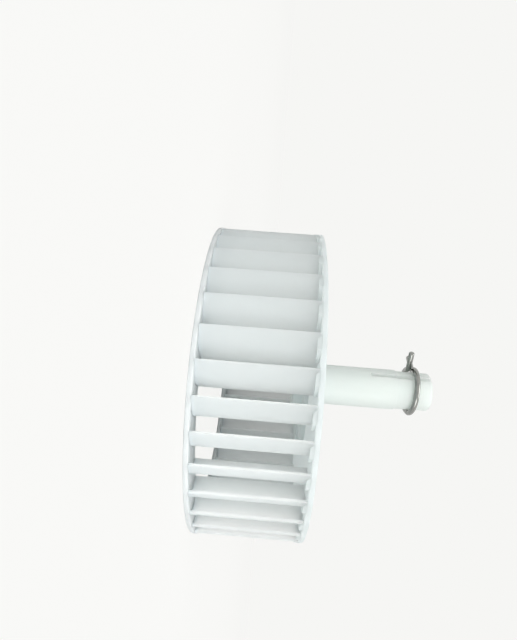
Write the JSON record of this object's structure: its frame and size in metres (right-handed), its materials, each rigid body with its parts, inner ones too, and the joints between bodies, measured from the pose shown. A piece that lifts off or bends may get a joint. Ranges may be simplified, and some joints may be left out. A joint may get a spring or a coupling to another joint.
{
  "type": "dryer blower wheel",
  "caption": "Squirrel-cage blower wheel for a clothes dryer: forward-curved blades between inlet ring and back plate, and a long split sleeve with a wire spring clamp for the motor shaft.",
  "frame": {"origin": "centre of the inlet ring on the surface that it stands on", "axes": "+Z along the shaft axis, from the inlet towards the sleeve; +Y towards the side that the picture looks from; +X towards the picture's upper edge"},
  "size_m": [0.196, 0.196, 0.1444],
  "materials": {
    "cage_plastic": "satin, milky and slightly translucent",
    "plate_plastic": "satin, milky and slightly translucent",
    "spring_steel": "polished spring steel"
  },
  "bodies": {
    "root": {"blade_cage": "cage_plastic", "back_plate": "plate_plastic", "hub_clamp": "spring_steel"}
  },
  "joints": []
}
